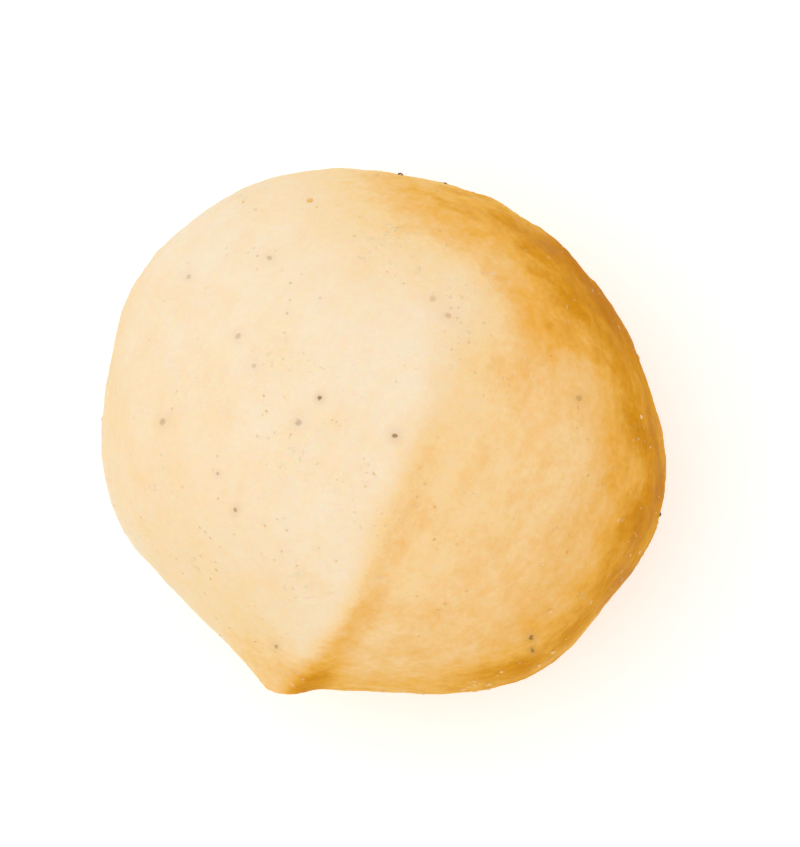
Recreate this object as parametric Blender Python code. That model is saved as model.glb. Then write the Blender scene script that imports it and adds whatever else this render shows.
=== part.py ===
"""A shelled macadamia kernel as one closed solid, lying on its side on a small flat spot.

The kernel is a round body with a blunt tip towards -Y and a puckered scar at its base end towards
+Y. The seam between its two halves runs from the tip over the top to the base and back underneath.
Metres, +Z up, with the origin under the middle of the kernel at the height of the flat spot.
"""

import math

import bmesh
import bpy
from mathutils import Matrix, Vector

# Overall size
KERNEL_WIDTH = 0.0187  # across both halves
SECTION_HEIGHT = 0.0172  # the round section's height before the flat spot takes its share
TIP_REACH = 0.00855  # from the widest ring to the shoulder of the tip
BASE_REACH = 0.00795  # from the widest ring to the base end
FLAT_SHARE = 0.00052  # how much of the section's height the flat spot takes
FLAT_BLEND = 0.00012  # half the depth over which the flat spot rounds into the sides

# Three low swellings under the flat spot, round the kernel's weight, so that it lies still
REST_MIDDLE = Vector((0.0, -0.00060))  # the spot's middle, from the middle of the widest ring
REST_TURNS = tuple(math.radians(turn) for turn in (90.0, 210.0, 330.0))  # from +X
REST_REACH = 0.0032
REST_HEIGHT = 0.00004
REST_SPREAD = 0.0009

# Tip
TIP_HEIGHT = 0.00074
TIP_SPREAD = 0.16  # as a share of half the width, as is the next
TIP_ROUNDING = 0.022
TIP_SHARPNESS = 1.2
FLANK_FULLNESS = 0.18  # how far the flanks towards the tip swell past an ellipse

# Seam between the halves
SEAM_LEAN = math.radians(6.3)  # how far the seam leans from the vertical towards +X
KEEL_HEIGHT = 0.00034  # how far the halves rise to meet along the seam, at the tip end
KEEL_SPREAD = 0.16  # as a share of half the width, as are the next four
KEEL_ROUNDING = 0.018
STEP_HEIGHT = 0.00017  # how far the half on the +X side lies below the other
STEP_SPREAD = 0.10
STEP_REACH = 0.75  # where the step has died away again
SEAM_AT_BASE = 0.25  # share of its height that the seam keeps at the base end
SEAM_FADE = 0.85  # the share of the length over which it loses the rest
SEAM_BOW = 0.07  # how far the seam bows out of its plane, as a share of half the width
SEAM_BOW_START = 0.05  # shares of the length: where the bow to +X is fullest
SEAM_BOW_SPAN = 0.75  # from there to the fullest bow to -X
SEAM_BOW_FADE = 0.70  # where the bow starts to die away towards the scar

# Scar at the base end, in the plane of the seam and a little below the middle; spreads in radians
SCAR_DIP = math.radians(9.0)
SCAR_DEPTH = 0.00030
SCAR_SPREAD = 0.11
SCAR_RIM_HEIGHT = 0.00007
SCAR_RIM_RADIUS = 0.25
SCAR_RIM_SPREAD = 0.10
FOLD_COUNT = 7
FOLD_DEPTH = 0.00006
FOLD_REACH = 0.34

# Broad hollows (above zero) and swellings (below): direction, depth in metres, spread in radians
HOLLOWS = (
    ((0.74, 0.62, 0.20), 0.00042, 0.40),
    ((0.95, -0.30, 0.05), 0.00037, 0.27),
    ((0.50, -0.85, 0.15), 0.00026, 0.25),
    ((-0.70, -0.70, 0.10), -0.00028, 0.34),
    ((-1.00, 0.04, 0.10), -0.00032, 0.34),
    ((-0.72, 0.62, 0.20), -0.00038, 0.38),
    ((0.42, -0.10, 0.90), 0.00012, 0.34),
    ((-0.30, -0.55, 0.78), -0.00010, 0.36),
    ((-0.35, 0.80, -0.48), 0.00018, 0.34),
    ((0.80, 0.25, -0.52), 0.00018, 0.36),
    ((-0.88, -0.20, -0.42), 0.00018, 0.36),
    ((0.35, -0.70, -0.60), -0.00012, 0.36),
)

# Directions that follow from the values above
SEAM_SIDE = Vector((math.cos(SEAM_LEAN), 0.0, -math.sin(SEAM_LEAN)))
SEAM_UP = Vector((math.sin(SEAM_LEAN), 0.0, math.cos(SEAM_LEAN)))
BASE_END = Vector((0.0, 1.0, 0.0))
SCAR_MIDDLE = BASE_END * math.cos(SCAR_DIP) - SEAM_UP * math.sin(SCAR_DIP)
SCAR_UP = BASE_END * math.sin(SCAR_DIP) + SEAM_UP * math.cos(SCAR_DIP)

# Surface grid: cells along each side of the cube that becomes the kernel
GRID_CELLS = 26
GRID_GATHER = 0.15  # how far the grid lines draw in towards the seam, the tip and the scar

# Look
KERNEL_COLOUR = (0.91, 0.70, 0.38, 1.0)
KERNEL_ROUGHNESS = 0.5


def clear_scene():
    for scene_object in list(bpy.data.objects):
        bpy.data.objects.remove(scene_object)


def smooth_step(value):
    value = min(max(value, 0.0), 1.0)
    return value * value * (3.0 - 2.0 * value)


def bell(distance, spread):
    return math.exp(-((distance / spread) ** 2))


def body_point(direction):
    """Point of the plain round body in a unit direction, with its full flanks and its tip."""
    ring = math.hypot(direction.x, direction.z)
    towards_tip = direction.y < 0.0
    swell = 1.0 + FLANK_FULLNESS * ring * direction.y**2 if towards_tip else 1.0
    point = Vector((
        direction.x * KERNEL_WIDTH / 2.0 * swell,
        direction.y * (TIP_REACH if towards_tip else BASE_REACH),
        direction.z * SECTION_HEIGHT / 2.0 * swell,
    ))
    if towards_tip:
        from_tip = math.hypot(ring, TIP_ROUNDING) - TIP_ROUNDING
        point.y -= TIP_HEIGHT * math.exp(-((from_tip / TIP_SPREAD) ** TIP_SHARPNESS))
    return point


def along_seam(direction):
    """Place between the tip, at 0, and the base end, at 1."""
    return (direction.y + 1.0) / 2.0


def seam_bow(along):
    """How far the seam bows to +X at the tip end and to -X past the middle."""
    wave = math.cos(math.pi * (along - SEAM_BOW_START) / SEAM_BOW_SPAN)
    return SEAM_BOW * wave * (1.0 - smooth_step((along - SEAM_BOW_FADE) / (1.0 - SEAM_BOW_FADE)))


def seam_relief(direction):
    """Height of the keel along the seam, less the step down to the half on the +X side."""
    along = along_seam(direction)
    across = direction.dot(SEAM_SIDE) - seam_bow(along)
    strength = 1.0 - (1.0 - SEAM_AT_BASE) * smooth_step(along / SEAM_FADE)
    from_crest = math.hypot(across, KEEL_ROUNDING) - KEEL_ROUNDING
    keel = KEEL_HEIGHT * math.exp(-from_crest / KEEL_SPREAD)
    step = STEP_HEIGHT * smooth_step(across / STEP_SPREAD) * (1.0 - smooth_step(across / STEP_REACH))
    return strength * (keel - step)


def scar_relief(direction):
    """Height of the base end's scar: a pit inside a low rim, with folds that run out from it."""
    from_scar = direction.angle(SCAR_MIDDLE)
    pit = -SCAR_DEPTH * bell(from_scar, SCAR_SPREAD)
    rim = SCAR_RIM_HEIGHT * bell(from_scar - SCAR_RIM_RADIUS, SCAR_RIM_SPREAD)
    around = math.atan2(direction.dot(SEAM_SIDE), direction.dot(SCAR_UP))
    fold = FOLD_DEPTH * math.cos(FOLD_COUNT * around) * bell(from_scar, FOLD_REACH)
    return pit + rim + fold * smooth_step(from_scar / SCAR_SPREAD)


def hollow_relief(direction):
    depth = 0.0
    for middle, hollow_depth, spread in HOLLOWS:
        depth += hollow_depth * bell(direction.angle(Vector(middle)), spread)
    return -depth


def flatten_underside(point):
    """Lift what lies below the flat spot's height onto it, with a rounded edge all round."""
    floor = FLAT_SHARE - SECTION_HEIGHT / 2.0
    above = point.z - floor
    if above < -FLAT_BLEND:
        point.z = floor
    elif above < FLAT_BLEND:
        point.z = floor + (above + FLAT_BLEND) ** 2 / (4.0 * FLAT_BLEND)


def rest_relief(point):
    """Depth by which the three low swellings stand out under the flat spot."""
    depth = 0.0
    for turn in REST_TURNS:
        middle = REST_MIDDLE + Vector((math.cos(turn), math.sin(turn))) * REST_REACH
        depth += REST_HEIGHT * bell((point.xy - middle).length, REST_SPREAD)
    return depth


def kernel_point(direction):
    relief = seam_relief(direction) + scar_relief(direction) + hollow_relief(direction)
    point = body_point(direction) + direction * relief
    flatten_underside(point)
    if point.z < 0.0:
        point.z -= rest_relief(point)
    return point


def gathered(place):
    """Move a grid line, from -1 to 1 on a cube's face, towards the face's middle line."""
    place = place * (1.0 - GRID_GATHER) + GRID_GATHER * place**3
    return math.tan(place * math.pi / 4.0)


def build_kernel_mesh():
    """Draw a cube's grid out to the kernel, its lines along the seam, and set it on its flat spot."""
    grid = bmesh.new()
    bmesh.ops.create_cube(grid, size=2.0)
    bmesh.ops.subdivide_edges(grid, edges=grid.edges[:], cuts=GRID_CELLS - 1, use_grid_fill=True)
    lean = Matrix.Rotation(SEAM_LEAN, 3, "Y")
    for vertex in grid.verts:
        on_cube = Vector([gathered(place) for place in vertex.co])
        direction = lean @ on_cube.normalized()
        direction += SEAM_SIDE * seam_bow(along_seam(direction))
        vertex.co = kernel_point(direction.normalized())
    lowest = [min(vertex.co[axis] for vertex in grid.verts) for axis in range(3)]
    highest = [max(vertex.co[axis] for vertex in grid.verts) for axis in range(3)]
    under_middle = Vector((
        (lowest[0] + highest[0]) / 2.0,
        (lowest[1] + highest[1]) / 2.0,
        lowest[2],
    ))
    bmesh.ops.translate(grid, verts=grid.verts[:], vec=-under_middle)
    bmesh.ops.recalc_face_normals(grid, faces=grid.faces[:])
    mesh = bpy.data.meshes.new("kernel")
    grid.to_mesh(mesh)
    grid.free()
    mesh.shade_smooth()
    return mesh


def kernel_material():
    material = bpy.data.materials.new("roasted_kernel")
    material.use_nodes = True
    surface = material.node_tree.nodes["Principled BSDF"]
    surface.inputs["Base Color"].default_value = KERNEL_COLOUR
    surface.inputs["Roughness"].default_value = KERNEL_ROUGHNESS
    surface.inputs["Metallic"].default_value = 0.0
    return material


def main():
    clear_scene()
    kernel = bpy.data.objects.new("kernel", build_kernel_mesh())
    kernel.data.materials.append(kernel_material())
    bpy.context.scene.collection.objects.link(kernel)


main()
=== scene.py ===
import math
import random

import bmesh
import bpy
from bpy.props import FloatProperty, FloatVectorProperty, IntProperty, PointerProperty
from mathutils import Matrix, Vector, noise


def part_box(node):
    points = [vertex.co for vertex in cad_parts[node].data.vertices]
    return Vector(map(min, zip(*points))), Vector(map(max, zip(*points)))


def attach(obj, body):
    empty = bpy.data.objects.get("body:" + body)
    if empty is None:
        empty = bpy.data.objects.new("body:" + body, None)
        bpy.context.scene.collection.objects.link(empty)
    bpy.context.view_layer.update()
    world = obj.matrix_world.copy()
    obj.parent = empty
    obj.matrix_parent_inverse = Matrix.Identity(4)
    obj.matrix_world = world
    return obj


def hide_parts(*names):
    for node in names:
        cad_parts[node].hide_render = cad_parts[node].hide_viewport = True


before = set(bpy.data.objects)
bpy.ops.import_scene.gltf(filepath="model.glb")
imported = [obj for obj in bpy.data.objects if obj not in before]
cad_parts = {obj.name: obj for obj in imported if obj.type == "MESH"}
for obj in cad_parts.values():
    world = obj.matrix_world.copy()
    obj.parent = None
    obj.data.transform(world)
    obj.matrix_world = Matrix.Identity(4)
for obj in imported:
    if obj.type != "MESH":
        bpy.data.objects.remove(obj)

bl_info = {
    "name": "Macadamia kernel",
    "version": (1, 0, 0),
    "blender": (4, 5, 0),
    "location": "View3D > Sidebar > Macadamia",
    "description": "Models a roasted, shelled macadamia kernel around its packed solid, in a plain studio",
    "category": "Add Mesh",
}

NODE = "kernel"
BODY = "root"

# Body of the kernel, in metres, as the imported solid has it
SECTION_HEIGHT = 0.0172
TIP_REACH = 0.00855
BASE_REACH = 0.00795
FLAT_SHARE = 0.00052
FLAT_BLEND = 0.00012
TIP_HEIGHT = 0.00074
TIP_SPREAD = 0.16
TIP_ROUNDING = 0.022
TIP_SHARPNESS = 1.2
FLANK_FULLNESS = 0.18

# Three low swellings under the flat spot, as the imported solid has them
REST_MIDDLE = Vector((0.0, -0.00060))
REST_TURNS = tuple(math.radians(turn) for turn in (90.0, 210.0, 330.0))
REST_REACH = 0.0032
REST_HEIGHT = 0.00004
REST_SPREAD = 0.0009

# Seam between the halves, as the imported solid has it
SEAM_LEAN = math.radians(6.3)
KEEL_SPREAD = 0.16
KEEL_ROUNDING = 0.018
STEP_SPREAD = 0.10
STEP_REACH = 0.75
SEAM_AT_BASE = 0.25
SEAM_FADE = 0.85
SEAM_BOW = 0.07
SEAM_BOW_START = 0.05
SEAM_BOW_SPAN = 0.75
SEAM_BOW_FADE = 0.70

# Scar at the base end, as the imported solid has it; spreads in radians
SCAR_DIP = math.radians(9.0)
SCAR_SPREAD = 0.11
SCAR_RIM_HEIGHT = 0.00007
SCAR_RIM_RADIUS = 0.25
SCAR_RIM_SPREAD = 0.10
FOLD_COUNT = 7
FOLD_DEPTH = 0.00006
FOLD_REACH = 0.34
SCAR_STAIN = 0.6
SCAR_STAIN_SPREAD = 0.08

# Broad hollows (above zero) and swellings (below): direction, depth in metres, spread in radians
HOLLOWS = (
    ((0.74, 0.62, 0.20), 0.00042, 0.40),
    ((0.95, -0.30, 0.05), 0.00037, 0.27),
    ((0.50, -0.85, 0.15), 0.00026, 0.25),
    ((-0.70, -0.70, 0.10), -0.00028, 0.34),
    ((-1.00, 0.04, 0.10), -0.00032, 0.34),
    ((-0.72, 0.62, 0.20), -0.00038, 0.38),
    ((0.42, -0.10, 0.90), 0.00012, 0.34),
    ((-0.30, -0.55, 0.78), -0.00010, 0.36),
    ((-0.35, 0.80, -0.48), 0.00018, 0.34),
    ((0.80, 0.25, -0.52), 0.00018, 0.36),
    ((-0.88, -0.20, -0.42), 0.00018, 0.36),
    ((0.35, -0.70, -0.60), -0.00012, 0.36),
)

# Directions that follow from the values above
SEAM_SIDE = Vector((math.cos(SEAM_LEAN), 0.0, -math.sin(SEAM_LEAN)))
SEAM_UP = Vector((math.sin(SEAM_LEAN), 0.0, math.cos(SEAM_LEAN)))
BASE_END = Vector((0.0, 1.0, 0.0))
SCAR_MIDDLE = BASE_END * math.cos(SCAR_DIP) - SEAM_UP * math.sin(SCAR_DIP)
SCAR_UP = BASE_END * math.sin(SCAR_DIP) + SEAM_UP * math.cos(SCAR_DIP)

# Fine surface grid: 128 cells a side make 196,608 triangles
GRID_CELLS = 128
GRID_GATHER = 0.15

# Fine relief: frequencies per unit of direction, heights in metres
SWELL_FREQUENCY = 3.2
SWELL_HEIGHT = 0.000080
RIPPLE_FREQUENCY = 11.0
RIPPLE_HEIGHT = 0.000030
STREAK_AROUND = 10.0
STREAK_ALONG = 2.2
STREAK_HEIGHT = 0.000020
SEAM_WANDER = 0.010
SEAM_WANDER_FREQUENCY = 5.0
SEAM_WIDENING = 0.09
GROOVE_OFFSET = 0.040
GROOVE_SPREAD = 0.062
GROOVE_DEPTH = 0.000075
GROOVE_END = 0.55
CRACK_SPREAD = 0.014
CRACK_REACH = 0.10
CRACK_DEPTH = 0.00012
CRACK_WANDER = 0.03
CRACK_WANDER_FREQUENCY = 14.0
FOLD_WANDER = 0.35
STREAK_POLE = 0.15  # least ring radius, so that the streaks don't run together at the ends

# Places where the thin outer layer has flaked off: direction, reach in radians
FLAKES = (
    ((0.30, 0.92, -0.10), 0.26),
    ((-0.80, 0.10, -0.55), 0.30),
    ((-0.45, -0.62, -0.60), 0.24),
    ((0.55, -0.35, -0.75), 0.22),
)
FLAKE_DEPTH = 0.000045
FLAKE_SEARCH = 1.8  # share of its reach past which a flaked place leaves no trace
FLAKE_EDGE = 0.30
FLAKE_RAGGEDNESS = 0.75
FLAKE_FREQUENCY = 7.0

# Golden patches: direction, how golden, spread in radians. They are partly roast and partly painted shade:
# those round the +X flank and at the -X edge darken the sides where the light falls off
ROAST_FLOOR = 0.04  # the golden share of the palest face
ROAST_AND_SHADE_PATCHES = (
    ((0.80, 0.58, 0.04), 0.86, 0.56),
    ((0.08, 0.93, 0.36), 0.72, 0.52),
    ((0.97, 0.00, 0.05), 0.62, 0.48),
    ((0.35, 0.93, -0.05), 0.25, 0.25),
    ((0.75, -0.65, 0.05), 0.52, 0.48),
    ((0.00, -1.00, 0.10), 0.28, 0.30),
    ((-0.50, 0.80, 0.25), 0.16, 0.36),
    ((-0.98, -0.20, 0.00), 0.22, 0.48),
    ((-0.30, -0.85, 0.35), 0.16, 0.55),
    ((0.00, 0.10, -1.00), 0.36, 0.80),
)
GOLD_KNEE = 0.62  # from here the golden share levels off
GOLD_ROOM = 0.36  # how much further it can rise
# The +X half's golden step is partly roast and partly painted shade on the half that slopes away from the
# light, stronger on top than underneath
SEAM_GOLD = 0.29  # how much more golden the +X half is
SEAM_GOLD_UNDER = 0.30  # share of that left underneath
SEAM_GOLD_DROP = 0.45  # how far below the middle it has faded to that
SEAM_LEAD = 0.07
SEAM_SOFT_TIP = 0.10
SEAM_SOFT_BASE = 0.50

# Specks on the face that shows best: place in metres, seen from above, then size and darkness
SEEN_SPECKS = (
    (-0.0020, -0.0001, 0.00008, 0.85),
    (0.0007, -0.0002, 0.00010, 0.80),
    (-0.0023, -0.0011, 0.00011, 0.42),
    (-0.0064, -0.0027, 0.00012, 0.40),
    (-0.0030, -0.0044, 0.00008, 0.60),
    (-0.0001, -0.0076, 0.00008, 0.55),
    (-0.0055, 0.0035, 0.00010, 0.36),
    (-0.0053, 0.0007, 0.00011, 0.34),
    (-0.0044, 0.0000, 0.00010, 0.28),
    (-0.0077, 0.0020, 0.00010, 0.34),
    (-0.0001, 0.0044, 0.00012, 0.28),
    (0.0006, 0.0041, 0.00013, 0.34),
    (-0.0040, -0.0036, 0.00006, 0.50),
    (0.0073, -0.0039, 0.00008, 0.90),
    (0.0075, -0.0042, 0.00007, 0.85),
    (0.0055, 0.0036, 0.00012, 0.36),
)
SPECK_CORE = 0.45
SPECK_EDGE = 1.30
SPECK_HALO = 4.5
SPECK_HALO_SHARE = 0.20
SPECK_WOBBLE = 0.00020
TOP_FACE = (0.0085, 0.0090)  # heights between which the top face's specks come in

# Crumbs of flesh, then of shell, in loose clusters: direction, count, spread
CRUMB_CLUSTERS = (
    ((0.92, 0.10, 0.05), 36, 0.22),
    ((0.75, -0.66, 0.00), 40, 0.20),
    ((-0.20, 0.95, 0.10), 20, 0.18),
    ((0.20, 0.70, -0.60), 50, 0.45),
    ((-0.80, -0.40, -0.40), 40, 0.45),
    ((0.00, 0.00, 1.00), 10, 0.80),
)
DUST_CLUSTERS = (
    ((-0.35, 0.93, 0.10), 1, 0.01),
    ((-0.18, 0.98, 0.06), 1, 0.01),
    ((0.97, 0.18, 0.05), 1, 0.03),
    ((-0.40, 0.20, -0.60), 3, 0.80),
)
FLESH_CRUMB_RADII = (0.00003, 0.00012)
SHELL_CRUMB_RADII = (0.00008, 0.00013)
CRUMB_STAND_OFF = 0.3  # of a crumb's middle from the surface, as a share of half its thickness

# Camera and frame of the picture, in pixels
PICTURE_WIDTH = 800
PICTURE_HEIGHT = 847
KERNEL_MIDDLE_X = 378
KERNEL_MIDDLE_Y = 443
PIXELS_PER_METRE = 30600.0
SENSOR = 36.0

# Large soft light, up to the left in the picture
KEY_PLACE = Vector((-0.11, -0.03, 0.55))
KEY_SIZE = 0.50
FLOOR_GLOW = 0.20


def colour_property(name, description, default):
    return FloatVectorProperty(
        name=name, description=description, default=default, size=4, min=0.0, max=1.0, subtype="COLOR",
    )


class KernelSizes(bpy.types.PropertyGroup):
    """Sizes of the kernel's main forms."""

    width: FloatProperty(
        name="Width", description="Width across both halves", default=0.0187,
        min=0.01, max=0.04, unit="LENGTH",
    )
    keel_height: FloatProperty(
        name="Keel height", description="How far the halves rise to meet along the seam",
        default=0.00034, min=0.0, max=0.001, unit="LENGTH",
    )
    step_height: FloatProperty(
        name="Step height", description="How far the golden half lies below the pale one",
        default=0.00017, min=0.0, max=0.001, unit="LENGTH",
    )
    scar_depth: FloatProperty(
        name="Scar depth", description="Depth of the scar at the base end",
        default=0.00030, min=0.0, max=0.001, unit="LENGTH",
    )
    crumb_seed: IntProperty(
        name="Crumb seed", description="Changes where the crumbs lie", default=5, min=0,
    )


class KernelColours(bpy.types.PropertyGroup):
    """Colours of the kernel's flesh, from its palest face to its scar."""

    cream: colour_property("Cream", "The palest face", (0.925, 0.765, 0.560, 1.0))
    honey: colour_property("Honey", "Lightly roasted flesh", (0.940, 0.650, 0.320, 1.0))
    gold: colour_property("Gold", "Golden flesh", (0.870, 0.440, 0.075, 1.0))
    # Amber and the darkest stop are partly roast and partly painted shade: the flanks away from the light
    # reach them, and amber also darkens the pores as painted shade
    amber: colour_property("Amber", "Well roasted flesh", (0.700, 0.285, 0.006, 1.0))
    toasted_and_shaded: colour_property("Toasted", "The most roasted flesh", (0.540, 0.185, 0.002, 1.0))
    speck: colour_property("Speck", "Small brown specks", (0.300, 0.140, 0.050, 1.0))
    scar: colour_property("Scar", "The bottom of the scar and its crack", (0.200, 0.095, 0.030, 1.0))
    dust: colour_property("Dust", "Whitish dust of broken flesh", (0.970, 0.880, 0.720, 1.0))
    shell: colour_property("Shell dust", "Dark crumbs of shell", (0.110, 0.060, 0.030, 1.0))


class StudioSettings(bpy.types.PropertyGroup):
    """Floor, lights and camera."""

    floor_colour: colour_property("Floor", "Colour of the floor", (0.94, 0.94, 0.94, 1.0))
    fill_strength: FloatProperty(
        name="Fill", description="Strength of the even light from all sides", default=0.75, min=0.0, max=5.0,
    )
    key_power: FloatProperty(
        name="Key", description="Power of the large soft light", default=1.1, min=0.0, max=50.0,
        unit="POWER",
    )
    azimuth: FloatProperty(
        name="Azimuth", description="Direction the camera looks from", default=math.radians(25.0),
        unit="ROTATION",
    )
    elevation: FloatProperty(
        name="Elevation", description="Height of the camera above the horizon",
        default=math.radians(85.0), unit="ROTATION",
    )
    lens: FloatProperty(
        name="Lens", description="Focal length of the camera", default=600.0, min=20.0, max=2000.0,
        unit="CAMERA",
    )


def smooth_step(value):
    value = min(max(value, 0.0), 1.0)
    return value * value * (3.0 - 2.0 * value)


def bell(distance, spread):
    return math.exp(-((distance / spread) ** 2))


def body_point(direction, width):
    """Point of the plain round body in a unit direction, with its full flanks and its tip."""
    ring = math.hypot(direction.x, direction.z)
    towards_tip = direction.y < 0.0
    swell = 1.0 + FLANK_FULLNESS * ring * direction.y**2 if towards_tip else 1.0
    point = Vector((
        direction.x * width / 2.0 * swell,
        direction.y * (TIP_REACH if towards_tip else BASE_REACH),
        direction.z * SECTION_HEIGHT / 2.0 * swell,
    ))
    if towards_tip:
        from_tip = math.hypot(ring, TIP_ROUNDING) - TIP_ROUNDING
        point.y -= TIP_HEIGHT * math.exp(-((from_tip / TIP_SPREAD) ** TIP_SHARPNESS))
    return point


def along_seam(direction):
    """Place between the tip, at 0, and the base end, at 1."""
    return (direction.y + 1.0) / 2.0


def seam_bow(along):
    """How far the seam bows to +X at the tip end and to -X past the middle."""
    wave = math.cos(math.pi * (along - SEAM_BOW_START) / SEAM_BOW_SPAN)
    return SEAM_BOW * wave * (1.0 - smooth_step((along - SEAM_BOW_FADE) / (1.0 - SEAM_BOW_FADE)))


def across_seam(direction):
    """Distance from the seam, as a share of half the width; the seam bows and wanders a little."""
    wander = SEAM_WANDER * noise.noise(direction * SEAM_WANDER_FREQUENCY)
    return direction.dot(SEAM_SIDE) - seam_bow(along_seam(direction)) + wander


def seam_strength(direction):
    return 1.0 - (1.0 - SEAM_AT_BASE) * smooth_step(along_seam(direction) / SEAM_FADE)


def groove_share(direction):
    """The shallow groove on the +X side of the seam, deepest at the tip."""
    fade = 1.0 - smooth_step(along_seam(direction) / GROOVE_END)
    return bell(across_seam(direction) - GROOVE_OFFSET, GROOVE_SPREAD) * fade


def seam_relief(direction, sizes):
    """Height of the keel along the seam, less the step and the groove on the +X side."""
    across = across_seam(direction)
    rounding = KEEL_ROUNDING + SEAM_WIDENING * smooth_step(along_seam(direction) / SEAM_FADE)
    from_crest = math.hypot(across, rounding) - rounding
    keel = sizes.keel_height * math.exp(-from_crest / KEEL_SPREAD)
    fade = 1.0 - smooth_step(across / STEP_REACH)
    step = sizes.step_height * smooth_step(across / STEP_SPREAD) * fade
    return seam_strength(direction) * (keel - step) - GROOVE_DEPTH * groove_share(direction)


def scar_crack(direction):
    """How deep a point lies in the short crack across the scar, from 0 to 1."""
    off_scar = direction - SCAR_MIDDLE
    along = off_scar.dot(SEAM_SIDE)
    over = off_scar.dot(SCAR_UP) + CRACK_WANDER * noise.noise(direction * CRACK_WANDER_FREQUENCY)
    return bell(over, CRACK_SPREAD) * bell(along, CRACK_REACH) * float(direction.y > 0.0)


def scar_darkness(direction):
    """How dark the flesh is at the bottom of the scar and in its crack, from 0 to 1."""
    bottom = SCAR_STAIN * bell(direction.angle(SCAR_MIDDLE), SCAR_STAIN_SPREAD)
    return min(1.0, bottom + scar_crack(direction))


def scar_relief(direction, scar_depth):
    """Height of the base end's scar: a pit inside a low rim, with folds that run out from it."""
    from_scar = direction.angle(SCAR_MIDDLE)
    pit = -scar_depth * bell(from_scar, SCAR_SPREAD)
    rim = SCAR_RIM_HEIGHT * bell(from_scar - SCAR_RIM_RADIUS, SCAR_RIM_SPREAD)
    around = math.atan2(direction.dot(SEAM_SIDE), direction.dot(SCAR_UP))
    around += FOLD_WANDER * noise.noise(direction * RIPPLE_FREQUENCY)
    fold = FOLD_DEPTH * math.cos(FOLD_COUNT * around) * bell(from_scar, FOLD_REACH)
    return pit + rim + fold * smooth_step(from_scar / SCAR_SPREAD) - CRACK_DEPTH * scar_crack(direction)


def hollow_relief(direction):
    depth = 0.0
    for middle, hollow_depth, spread in HOLLOWS:
        depth += hollow_depth * bell(direction.angle(Vector(middle)), spread)
    return -depth


def flake_share(direction):
    """How far a point lies inside a place where the outer layer has flaked off, from 0 to 1."""
    share = 0.0
    for middle, reach in FLAKES:
        from_middle = direction.angle(Vector(middle))
        if from_middle < reach * FLAKE_SEARCH:
            ragged = FLAKE_RAGGEDNESS * noise.fractal(direction * FLAKE_FREQUENCY, 0.8, 2.0, 4)
            share = max(share, smooth_step((1.0 - from_middle / reach + ragged) / FLAKE_EDGE))
    return share


def fine_relief(direction):
    """Low swells, fine ripples and lengthwise streaks that keep the surface from looking turned."""
    swell = SWELL_HEIGHT * noise.noise(direction * SWELL_FREQUENCY)
    ripple = RIPPLE_HEIGHT * noise.fractal(direction * RIPPLE_FREQUENCY, 0.7, 2.1, 4)
    ring = max(math.hypot(direction.x, direction.z), STREAK_POLE)
    around = Vector((direction.x / ring, 0.0, direction.z / ring)) * STREAK_AROUND
    around.y = direction.y * STREAK_ALONG
    streak = STREAK_HEIGHT * noise.fractal(around, 0.8, 2.0, 3)
    return swell + ripple + streak


def golden_share(direction):
    """How golden the flesh is, from 0 for cream towards 1 for the darkest stop, levelling off past the knee;
    partly roast, partly painted shade on the flanks and on the +X half.
    """
    share = ROAST_FLOOR
    for middle, golden, spread in ROAST_AND_SHADE_PATCHES:
        share += golden * bell(direction.angle(Vector(middle)), spread)
    along = along_seam(direction)
    softness = SEAM_SOFT_TIP + (SEAM_SOFT_BASE - SEAM_SOFT_TIP) * smooth_step(along) ** 2
    seen = smooth_step((direction.dot(SEAM_UP) + SEAM_GOLD_DROP) / SEAM_GOLD_DROP)
    step = SEAM_GOLD * (SEAM_GOLD_UNDER + (1.0 - SEAM_GOLD_UNDER) * seen)
    share += step * smooth_step((across_seam(direction) + SEAM_LEAD) / softness)
    if share > GOLD_KNEE:
        share = GOLD_KNEE + GOLD_ROOM * (1.0 - math.exp((GOLD_KNEE - share) / GOLD_ROOM))
    return share


def flatten_underside(point):
    """Lift what lies below the flat spot's height onto it, with a rounded edge all round."""
    floor = FLAT_SHARE - SECTION_HEIGHT / 2.0
    above = point.z - floor
    if above < -FLAT_BLEND:
        point.z = floor
    elif above < FLAT_BLEND:
        point.z = floor + (above + FLAT_BLEND) ** 2 / (4.0 * FLAT_BLEND)


def rest_relief(point):
    """Depth by which the three low swellings stand out under the flat spot."""
    depth = 0.0
    for turn in REST_TURNS:
        middle = REST_MIDDLE + Vector((math.cos(turn), math.sin(turn))) * REST_REACH
        depth += REST_HEIGHT * bell((point.xy - middle).length, REST_SPREAD)
    return depth


def gathered(place):
    """Move a grid line, from -1 to 1 on a cube's face, towards the face's middle line."""
    place = place * (1.0 - GRID_GATHER) + GRID_GATHER * place**3
    return math.tan(place * math.pi / 4.0)


def fit_to_box(verts, low, high):
    """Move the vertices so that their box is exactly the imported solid's."""
    for axis in range(3):
        lowest = min(vertex.co[axis] for vertex in verts)
        highest = max(vertex.co[axis] for vertex in verts)
        scale = (high[axis] - low[axis]) / (highest - lowest)
        for vertex in verts:
            vertex.co[axis] = low[axis] + (vertex.co[axis] - lowest) * scale


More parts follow.
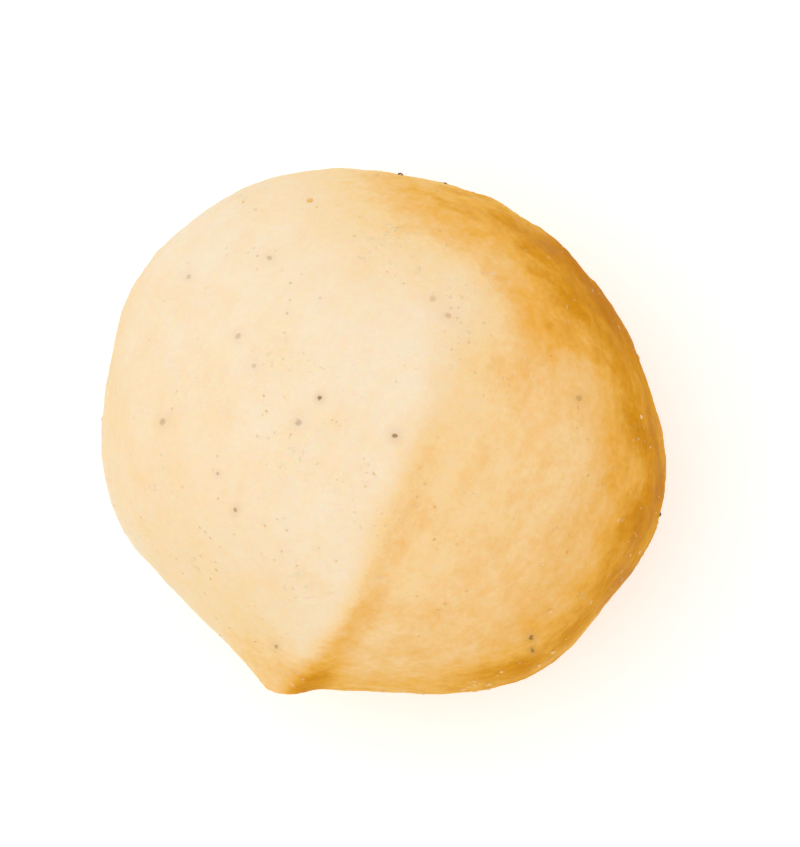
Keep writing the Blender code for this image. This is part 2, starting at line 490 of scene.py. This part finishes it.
def shape_kernel(grid, sizes):
    """Draw a cube's grid out to the kernel and return what each vertex's place says of its look."""
    bmesh.ops.create_cube(grid, size=2.0)
    bmesh.ops.subdivide_edges(grid, edges=grid.edges[:], cuts=GRID_CELLS - 1, use_grid_fill=True)
    lean = Matrix.Rotation(SEAM_LEAN, 3, "Y")
    looks = {"golden": [], "flake": [], "groove": [], "scar": []}
    for vertex in grid.verts:
        on_cube = Vector([gathered(place) for place in vertex.co])
        direction = lean @ on_cube.normalized()
        direction += SEAM_SIDE * seam_bow(along_seam(direction))
        direction.normalize()
        flake = flake_share(direction)
        relief = seam_relief(direction, sizes) + scar_relief(direction, sizes.scar_depth)
        relief += hollow_relief(direction) + fine_relief(direction) - FLAKE_DEPTH * flake
        point = body_point(direction, sizes.width) + direction * relief
        flatten_underside(point)
        if point.z < 0.0:
            point.z -= rest_relief(point)
        vertex.co = point
        looks["golden"].append(golden_share(direction))
        looks["flake"].append(flake)
        looks["groove"].append(groove_share(direction))
        looks["scar"].append(scar_darkness(direction))
    fit_to_box(grid.verts, *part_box(NODE))
    bmesh.ops.recalc_face_normals(grid, faces=grid.faces[:])
    return looks


def store_looks(mesh, looks):
    for name, values in looks.items():
        attribute = mesh.attributes.new(name, "FLOAT", "POINT")
        attribute.data.foreach_set("value", values)


def set_inputs(node, **values):
    for name, value in values.items():
        node.inputs[name.replace("_", " ")].default_value = value


class Tree:
    """Short calls for building a material's node tree."""

    def __init__(self, name):
        self.material = bpy.data.materials.new(name)
        self.material.use_nodes = True
        self.nodes = self.material.node_tree.nodes
        self.links = self.material.node_tree.links
        self.surface = self.nodes["Principled BSDF"]
        self.place = self.nodes.new("ShaderNodeTexCoord").outputs["Object"]

    def join(self, value, socket):
        if isinstance(value, bpy.types.NodeSocket):
            self.links.new(value, socket)
        else:
            socket.default_value = value

    def math(self, operation, first, second=0.0, clamp=False):
        node = self.nodes.new("ShaderNodeMath")
        node.operation = operation
        node.use_clamp = clamp
        self.join(first, node.inputs[0])
        self.join(second, node.inputs[1])
        return node.outputs[0]

    def vector(self, operation, first, second, output="Vector"):
        node = self.nodes.new("ShaderNodeVectorMath")
        node.operation = operation
        self.join(first, node.inputs[0])
        self.join(second, node.inputs[1])
        return node.outputs[output]

    def attribute(self, name):
        node = self.nodes.new("ShaderNodeAttribute")
        node.attribute_name = name
        return node.outputs["Fac"]

    def noise(self, scale, detail=3.0, roughness=0.5, place=None, output="Fac"):
        node = self.nodes.new("ShaderNodeTexNoise")
        self.links.new(place or self.place, node.inputs["Vector"])
        set_inputs(node, Scale=scale, Detail=detail, Roughness=roughness)
        return node.outputs[output]

    def voronoi(self, scale, output="Distance"):
        node = self.nodes.new("ShaderNodeTexVoronoi")
        self.links.new(self.place, node.inputs["Vector"])
        set_inputs(node, Scale=scale)
        return node.outputs[output]

    def remap(self, value, low, high, to_low=0.0, to_high=1.0, shape="SMOOTHSTEP"):
        node = self.nodes.new("ShaderNodeMapRange")
        node.interpolation_type = shape
        self.links.new(value, node.inputs["Value"])
        set_inputs(node, From_Min=low, From_Max=high, To_Min=to_low, To_Max=to_high)
        return node.outputs["Result"]

    def ramp(self, value, stops):
        node = self.nodes.new("ShaderNodeValToRGB")
        self.links.new(value, node.inputs["Fac"])
        elements = node.color_ramp.elements
        while len(elements) < len(stops):
            elements.new(0.5)
        for element, (position, colour) in zip(elements, stops):
            element.position = position
            element.color = colour
        return node.outputs["Color"]

    def mix(self, share, first, second):
        node = self.nodes.new("ShaderNodeMix")
        node.data_type = "RGBA"
        self.join(share, node.inputs["Factor"])
        self.join(first, node.inputs["A"])
        self.join(second, node.inputs["B"])
        return node.outputs["Result"]

    def bump(self, height, distance, below=None):
        node = self.nodes.new("ShaderNodeBump")
        self.links.new(height, node.inputs["Height"])
        set_inputs(node, Strength=1.0, Distance=distance)
        if below is not None:
            self.links.new(below, node.inputs["Normal"])
        return node.outputs["Normal"]


def speck_share(tree):
    """Soft dark specks: those on the top face by their places, and sparse ones all round."""
    wobble = tree.vector("SUBTRACT", tree.noise(3600.0, 4.0, 0.7, output="Color"), (0.5, 0.5, 0.5))
    wobbly = tree.vector("ADD", tree.place, tree.vector("MULTIPLY", wobble, (SPECK_WOBBLE,) * 3))
    from_above = tree.vector("MULTIPLY", wobbly, (1.0, 1.0, 0.0))
    share = None
    for x, y, size, darkness in SEEN_SPECKS:
        away = tree.vector("DISTANCE", from_above, (x, y, 0.0), output="Value")
        core = tree.remap(away, size * SPECK_CORE, size * SPECK_EDGE, darkness, 0.0)
        halo = tree.remap(away, 0.0, size * SPECK_HALO, darkness * SPECK_HALO_SHARE, 0.0)
        mark = tree.math("MAXIMUM", core, halo)
        share = mark if share is None else tree.math("MAXIMUM", share, mark)
    height = tree.nodes.new("ShaderNodeSeparateXYZ")
    tree.links.new(tree.place, height.inputs[0])
    share = tree.math("MULTIPLY", share, tree.remap(height.outputs["Z"], *TOP_FACE))
    sparse = tree.remap(tree.voronoi(520.0), 0.022, 0.050, 0.50, 0.0)
    sparse = tree.math("MULTIPLY", sparse, tree.remap(tree.noise(240.0, 1.0), 0.56, 0.66))
    return tree.math("MAXIMUM", share, sparse)


def flesh_material(colours):
    """Roasted flesh: cream to amber, partly roast and partly painted shade, mottled, with specks, pores
    darkened as painted shade, flaked places and whitish dust.
    """
    tree = Tree("roasted_flesh")
    lengthwise = tree.vector("MULTIPLY", tree.place, (1.0, 0.22, 1.0))
    flake = tree.attribute("flake")
    groove = tree.attribute("groove")
    oily = tree.remap(tree.noise(230.0, 4.0, 0.62), 0.50, 0.64)
    streak = tree.noise(1300.0, 4.0, 0.6, place=lengthwise)
    grain = tree.noise(3600.0, 4.0, 0.65)
    golden = tree.attribute("golden")
    blotch = tree.remap(tree.noise(330.0, 5.0, 0.65), 0.32, 0.68, -0.11, 0.10)
    for share in (
        tree.math("MULTIPLY", tree.remap(golden, 0.40, 0.80), blotch),
        tree.remap(tree.noise(150.0, 3.0, 0.5), 0.3, 0.7, -0.05, 0.05),
        tree.remap(tree.noise(520.0, 5.0, 0.6), 0.3, 0.7, -0.035, 0.035),
        tree.remap(streak, 0.3, 0.7, -0.035, 0.035),
        tree.remap(grain, 0.3, 0.7, -0.035, 0.035),
        tree.math("MULTIPLY", oily, 0.05),
        # painted shade: a darker golden band in the groove on the +X side of the seam
        tree.math("MULTIPLY", groove, 0.13),
        tree.math("MULTIPLY", flake, -0.10),
    ):
        golden = tree.math("ADD", golden, share)
    # The ramp's darker stops carry painted shade where the golden share runs high on the flanks
    colour = tree.ramp(tree.math("MAXIMUM", golden, 0.0), (
        (0.0, colours.cream),
        (0.36, colours.honey),
        (0.62, colours.gold),
        (0.82, colours.amber),
        (1.0, colours.toasted_and_shaded),
    ))
    pore = tree.remap(tree.voronoi(2600.0), 0.05, 0.16, 1.0, 0.0)
    pore = tree.math("MULTIPLY", pore, tree.remap(tree.noise(380.0, 3.0, 0.6), 0.46, 0.60))
    # painted shade: the pores darkened towards amber
    colour = tree.mix(tree.math("MULTIPLY", pore, 0.22), colour, colours.amber)
    flake_edge = tree.math("MULTIPLY", flake, tree.math("SUBTRACT", 1.0, flake))
    colour = tree.mix(tree.math("MULTIPLY", flake_edge, 0.35), colour, colours.amber)
    dust = tree.remap(tree.noise(4800.0, 2.0, 0.6), 0.64, 0.70)
    dust = tree.math("MULTIPLY", dust, tree.remap(tree.noise(300.0, 4.0, 0.65), 0.54, 0.66))
    colour = tree.mix(tree.math("MULTIPLY", dust, 0.50), colour, colours.dust)
    colour = tree.mix(speck_share(tree), colour, colours.speck)
    colour = tree.mix(tree.attribute("scar"), colour, colours.scar)
    tree.links.new(colour, tree.surface.inputs["Base Color"])
    roughness = tree.remap(tree.noise(700.0, 4.0, 0.6), 0.3, 0.7, 0.60, 0.76)
    roughness = tree.math("ADD", roughness, tree.math("MULTIPLY", oily, -0.10))
    roughness = tree.math("ADD", roughness, tree.math("MULTIPLY", flake, 0.14))
    roughness = tree.math("ADD", roughness, tree.math("MULTIPLY", dust, 0.25))
    tree.links.new(roughness, tree.surface.inputs["Roughness"])
    normal = tree.bump(grain, 0.000035)
    normal = tree.bump(streak, 0.000060, normal)
    normal = tree.bump(tree.math("SUBTRACT", dust, pore), 0.000040, normal)
    tree.links.new(normal, tree.surface.inputs["Normal"])
    set_inputs(tree.surface, Subsurface_Weight=0.45, Subsurface_Scale=0.0007, Specular_IOR_Level=0.035)
    tree.surface.inputs["Subsurface Radius"].default_value = (1.0, 0.50, 0.20)
    return tree.material


def crumb_material(name, pale, dark, roughness):
    """Dry crumbs, each a little lighter or darker."""
    tree = Tree(name)
    shade = tree.remap(tree.noise(1500.0, 4.0, 0.6), 0.3, 0.7)
    tree.links.new(tree.mix(shade, pale, dark), tree.surface.inputs["Base Color"])
    rough = tree.remap(tree.noise(5200.0, 2.0, 0.6), 0.3, 0.7, roughness - 0.08, roughness + 0.08)
    tree.links.new(rough, tree.surface.inputs["Roughness"])
    tree.links.new(tree.bump(tree.noise(9000.0, 3.0, 0.6), 0.000015), tree.surface.inputs["Normal"])
    set_inputs(tree.surface, Subsurface_Weight=0.2, Subsurface_Scale=0.0003)
    return tree.material


def finished_piece(name, grid, material):
    """Make a mesh object of a bmesh, smooth, at the origin, riding on the kernel's body."""
    mesh = bpy.data.meshes.new(name)
    grid.to_mesh(mesh)
    grid.free()
    mesh.shade_smooth()
    mesh.materials.append(material)
    piece = bpy.data.objects.new(name, mesh)
    bpy.context.scene.collection.objects.link(piece)
    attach(piece, BODY)
    return piece


class MACADAMIA_OT_kernel(bpy.types.Operator):
    """Model the kernel with its seam, scar, specks and flaked places"""

    bl_idname = "macadamia.kernel"
    bl_label = "Kernel"

    def execute(self, context):
        sizes = context.scene.macadamia_sizes
        grid = bmesh.new()
        looks = shape_kernel(grid, sizes)
        piece = finished_piece("roasted_kernel", grid, flesh_material(context.scene.macadamia_colours))
        store_looks(piece.data, looks)
        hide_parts(NODE)
        return {"FINISHED"}


def crumb_places(clusters, draw):
    """Points of the kernel's surface, with their normals, drawn round each cluster's direction."""
    kernel = bpy.data.objects["roasted_kernel"]
    bpy.context.view_layer.update()
    low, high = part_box(NODE)
    middle = (low + high) / 2.0
    for direction, count, spread in clusters:
        for _ in range(count):
            off = Vector([draw.gauss(0.0, spread) for _ in range(3)])
            outwards = (Vector(direction) + off).normalized()
            hit, place, normal, _ = kernel.ray_cast(middle + outwards * SECTION_HEIGHT, -outwards)
            if hit:
                yield place, normal


def add_crumb(grid, place, normal, radius, low, high, draw):
    """Add one flattened, lumpy crumb, sunk a little into the surface and kept inside the box."""
    flatness = draw.uniform(0.35, 0.6)
    turn = normal.to_track_quat("Z", "Y").to_matrix().to_4x4()
    spin = Matrix.Rotation(draw.uniform(0.0, math.tau), 4, "Z")
    stretch = Matrix.Diagonal((1.0, draw.uniform(0.55, 0.9), flatness, 1.0))
    middle = place + normal * radius * flatness * CRUMB_STAND_OFF
    made = bmesh.ops.create_icosphere(
        grid, subdivisions=2, radius=radius, matrix=Matrix.Translation(middle) @ turn @ spin @ stretch,
    )
    for corner in made["verts"]:
        lump = 0.45 * noise.noise(corner.co * 0.9 / radius) + 0.25 * noise.noise(corner.co * 2.6 / radius)
        corner.co = middle + (corner.co - middle) * (1.0 + lump)
        for axis in range(3):
            corner.co[axis] = min(max(corner.co[axis], low[axis]), high[axis])


def crumb_piece(name, clusters, radii, material, draw):
    grid = bmesh.new()
    low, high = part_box(NODE)
    smallest, largest = radii
    for place, normal in crumb_places(clusters, draw):
        radius = smallest + (largest - smallest) * draw.random() ** 3
        if place.z > largest:
            add_crumb(grid, place, normal, radius, low, high, draw)
    return finished_piece(name, grid, material)


class MACADAMIA_OT_crumbs(bpy.types.Operator):
    """Scatter the crumbs of flesh and of shell that cling to the kernel"""

    bl_idname = "macadamia.crumbs"
    bl_label = "Crumbs"

    def execute(self, context):
        colours = context.scene.macadamia_colours
        draw = random.Random(context.scene.macadamia_sizes.crumb_seed)
        pale = crumb_material("pale_crumb", colours.honey, colours.gold, 0.7)
        brown = crumb_material("shell_crumb", colours.shell, colours.speck, 0.8)
        crumb_piece("flesh_crumbs", CRUMB_CLUSTERS, FLESH_CRUMB_RADII, pale, draw)
        crumb_piece("shell_crumbs", DUST_CLUSTERS, SHELL_CRUMB_RADII, brown, draw)
        return {"FINISHED"}


class MACADAMIA_OT_studio(bpy.types.Operator):
    """Lay the pale floor, hang the soft light and set up the camera"""

    bl_idname = "macadamia.studio"
    bl_label = "Studio"

    def execute(self, context):
        studio = context.scene.macadamia_studio
        lay_floor(studio.floor_colour)
        light_world(studio.fill_strength)
        hang_light("key_light", KEY_PLACE, KEY_SIZE, studio.key_power)
        place_camera(studio)
        context.scene.view_settings.view_transform = "Standard"
        context.scene.view_settings.look = "None"
        return {"FINISHED"}


def lay_floor(colour):
    tree = Tree("floor_paper")
    shade = tree.remap(tree.noise(60.0, 2.0, 0.5), 0.3, 0.7, 0.0, 0.3)
    tree.links.new(tree.mix(shade, colour, (1.0, 1.0, 1.0, 1.0)), tree.surface.inputs["Base Color"])
    set_inputs(tree.surface, Roughness=0.9, Emission_Color=colour, Emission_Strength=FLOOR_GLOW)
    grid = bmesh.new()
    bmesh.ops.create_circle(grid, cap_ends=True, segments=96, radius=0.8)
    mesh = bpy.data.meshes.new("floor")
    grid.to_mesh(mesh)
    grid.free()
    mesh.materials.append(tree.material)
    floor = bpy.data.objects.new("floor", mesh)
    bpy.context.scene.collection.objects.link(floor)


def light_world(strength):
    """Even fill light from all sides, in front of a plain white backdrop."""
    world = bpy.data.worlds.new("studio")
    world.use_nodes = True
    bpy.context.scene.world = world
    nodes, links = world.node_tree.nodes, world.node_tree.links
    fill = nodes["Background"]
    set_inputs(fill, Color=(1.0, 1.0, 1.0, 1.0), Strength=strength)
    backdrop = nodes.new("ShaderNodeBackground")
    set_inputs(backdrop, Color=(1.0, 1.0, 1.0, 1.0), Strength=1.0)
    mix = nodes.new("ShaderNodeMixShader")
    links.new(nodes.new("ShaderNodeLightPath").outputs["Is Camera Ray"], mix.inputs["Fac"])
    links.new(fill.outputs[0], mix.inputs[1])
    links.new(backdrop.outputs[0], mix.inputs[2])
    links.new(mix.outputs[0], nodes["World Output"].inputs["Surface"])


def hang_light(name, place, size, power):
    lamp = bpy.data.lights.new(name, "AREA")
    lamp.shape = "DISK"
    lamp.size = size
    lamp.energy = power
    light = bpy.data.objects.new(name, lamp)
    light.location = place
    light.rotation_euler = (-place).to_track_quat("-Z", "Y").to_euler()
    bpy.context.scene.collection.objects.link(light)


def place_camera(studio):
    """Look nearly straight down, with the kernel where and as large as the picture has its subject."""
    camera_data = bpy.data.cameras.new("camera")
    camera_data.lens = studio.lens
    camera_data.sensor_width = SENSOR
    camera_data.clip_start = 0.01
    camera_data.clip_end = 5.0
    camera = bpy.data.objects.new("camera", camera_data)
    turn, tilt = studio.azimuth, studio.elevation
    back = Vector((math.sin(turn) * math.cos(tilt), -math.cos(turn) * math.cos(tilt), math.sin(tilt)))
    facing = back.to_track_quat("Z", "Y").to_matrix()
    right, up = facing @ Vector((1.0, 0.0, 0.0)), facing @ Vector((0.0, 1.0, 0.0))
    low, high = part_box(NODE)
    aim = (low + high) / 2.0
    aim -= right * (KERNEL_MIDDLE_X - PICTURE_WIDTH / 2.0) / PIXELS_PER_METRE
    aim += up * (KERNEL_MIDDLE_Y - PICTURE_HEIGHT / 2.0) / PIXELS_PER_METRE
    distance = PICTURE_HEIGHT / PIXELS_PER_METRE * studio.lens / SENSOR
    camera.location = aim + back * distance
    camera.rotation_euler = facing.to_euler()
    bpy.context.scene.collection.objects.link(camera)
    bpy.context.scene.camera = camera


class MACADAMIA_PT_panel(bpy.types.Panel):
    """Sizes, colours and operators of the kernel"""

    bl_label = "Macadamia kernel"
    bl_idname = "MACADAMIA_PT_panel"
    bl_space_type = "VIEW_3D"
    bl_region_type = "UI"
    bl_category = "Macadamia"

    def draw(self, context):
        scene = context.scene
        for group in (scene.macadamia_sizes, scene.macadamia_colours, scene.macadamia_studio):
            box = self.layout.box()
            for name in group.__annotations__:
                box.prop(group, name)
        for operator in (MACADAMIA_OT_kernel, MACADAMIA_OT_crumbs, MACADAMIA_OT_studio):
            self.layout.operator(operator.bl_idname)


CLASSES = (
    KernelSizes,
    KernelColours,
    StudioSettings,
    MACADAMIA_OT_kernel,
    MACADAMIA_OT_crumbs,
    MACADAMIA_OT_studio,
    MACADAMIA_PT_panel,
)


def register():
    for made_class in CLASSES:
        bpy.utils.register_class(made_class)
    bpy.types.Scene.macadamia_sizes = PointerProperty(type=KernelSizes)
    bpy.types.Scene.macadamia_colours = PointerProperty(type=KernelColours)
    bpy.types.Scene.macadamia_studio = PointerProperty(type=StudioSettings)


def unregister():
    del bpy.types.Scene.macadamia_studio
    del bpy.types.Scene.macadamia_colours
    del bpy.types.Scene.macadamia_sizes
    for made_class in reversed(CLASSES):
        bpy.utils.unregister_class(made_class)


def main():
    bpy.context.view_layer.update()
    register()
    bpy.ops.macadamia.kernel()
    bpy.ops.macadamia.crumbs()
    bpy.ops.macadamia.studio()


if __name__ == "__main__":
    main()
